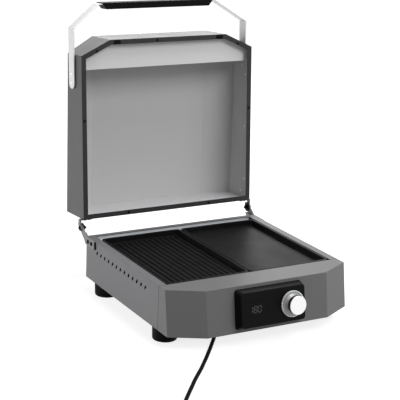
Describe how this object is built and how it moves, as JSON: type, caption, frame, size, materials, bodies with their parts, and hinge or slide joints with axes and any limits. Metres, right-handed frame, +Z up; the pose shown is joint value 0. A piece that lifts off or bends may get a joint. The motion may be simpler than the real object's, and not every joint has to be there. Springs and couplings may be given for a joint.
{
  "type": "electric indoor grill with lid",
  "caption": "Grey electric tabletop grill with a ribbed and a flat non-stick plate, a hinged sloping lid standing open, a bar handle and a front control panel with one knob",
  "frame": {"origin": "On the standing surface, under the middle of the box round the open grill without its cord", "axes": "+X to the grill's right seen from the front, +Y to the rear, +Z up"},
  "size_m": [0.6623, 1.1048, 0.7223],
  "materials": {
    "grey_steel": "satin grey powder coat on folded sheet steel",
    "fascia_steel": "satin grey powder coat on the folded front",
    "dark_steel": "dark grey paint on the lid's frame",
    "cover_steel": "zinc sheet with dark paint",
    "liner_steel": "plain rolled sheet, matt",
    "baffle_steel": "bright rolled sheet, matt",
    "tray_steel": "bright rolled sheet",
    "nonstick": "black non-stick coat on die-cast aluminium",
    "heater_steel": "heat-darkened tube",
    "rivet_steel": "bright rivets and screws",
    "black_steel": "black oxide screws, washers and nuts",
    "hinge_steel": "grey paint on stamped steel",
    "panel_plastic": "black moulded plastic, fine satin",
    "window_plastic": "dark smoked window",
    "inner_plastic": "dark moulded electrical parts",
    "board_green": "printed circuit board",
    "ceramic": "white ceramic insulator",
    "knob_silver": "satin turned metal",
    "cap_chrome": "bright cap",
    "bar_steel": "bright flat bar",
    "grip_plastic": "black moulded grip",
    "rubber": "black rubber",
    "cord_rubber": "black rubber-sheathed cord"
  },
  "bodies": {
    "root": {"base_shell": "grey_steel", "front_fascia": "fascia_steel", "bottom_cover": "cover_steel", "feet": "rubber", "foot_screws": "rivet_steel", "element_pan": "tray_steel", "centre_rail": "tray_steel", "pan_rivets": "rivet_steel", "heating_element_left": "heater_steel", "heating_element_right": "heater_steel", "element_clips": "tray_steel", "element_terminals": "ceramic", "temperature_probe": "tray_steel", "tray_rails": "tray_steel", "power_board": "board_green", "terminal_block": "ceramic", "control_panel": "panel_plastic", "display_window": "window_plastic", "control_board": "board_green", "encoder_body": "inner_plastic", "hinge_arm_left": "hinge_steel", "hinge_arm_right": "hinge_steel", "arm_screws": "black_steel", "hinge_bolts": "black_steel", "hinge_washers": "black_steel", "hinge_nuts": "black_steel", "cord_gland": "rubber", "cord_lead": "cord_rubber", "cord_coil": "cord_rubber", "plug": "rubber"},
    "lid": {"lid_shell": "grey_steel", "lid_liner": "liner_steel", "lid_frame": "dark_steel", "lid_baffle": "baffle_steel", "lid_bumpers": "rubber", "frame_screws": "black_steel", "lid_rivets": "rivet_steel", "lid_leaf_left": "hinge_steel", "lid_leaf_right": "hinge_steel", "leaf_screws": "black_steel", "handle_bar": "bar_steel", "handle_grip": "grip_plastic", "handle_screws": "rivet_steel"},
    "left_plate": {"plate_left": "nonstick"},
    "right_plate": {"plate_right": "nonstick"},
    "tray": {"drip_tray": "tray_steel"},
    "knob_stem": {"encoder_plunger": "knob_silver"},
    "knob_top": {"knob_shaft": "knob_silver", "knob": "knob_silver", "knob_cap": "cap_chrome"}
  },
  "joints": [
    {"name": "lid_hinge", "type": "hinge", "parent": "root", "child": "lid", "pos_m": [0, 0.21849, 0.1575], "axis": [1, 0, 0], "range_deg": [0, 94]},
    {"name": "left_plate_lift", "type": "slide", "parent": "root", "child": "left_plate", "axis": [0, 0, 1], "range_m": [0, 0.018]},
    {"name": "right_plate_lift", "type": "slide", "parent": "root", "child": "right_plate", "axis": [0, 0, 1], "range_m": [0, 0.018]},
    {"name": "drip_tray_slide", "type": "slide", "parent": "root", "child": "tray", "axis": [0, 1, 0], "range_m": [0, 0.15]},
    {"name": "knob_push", "type": "slide", "parent": "root", "child": "knob_stem", "axis": [0, 0.9869, -0.1615], "range_m": [0, 0.0015], "stiffness_N_per_m": 2000},
    {"name": "knob_turn", "type": "hinge", "parent": "knob_stem", "child": "knob_top", "pos_m": [0.0505, -0.3192, 0.09288], "axis": [0, -0.9869, 0.1615], "continuous": true}
  ]
}
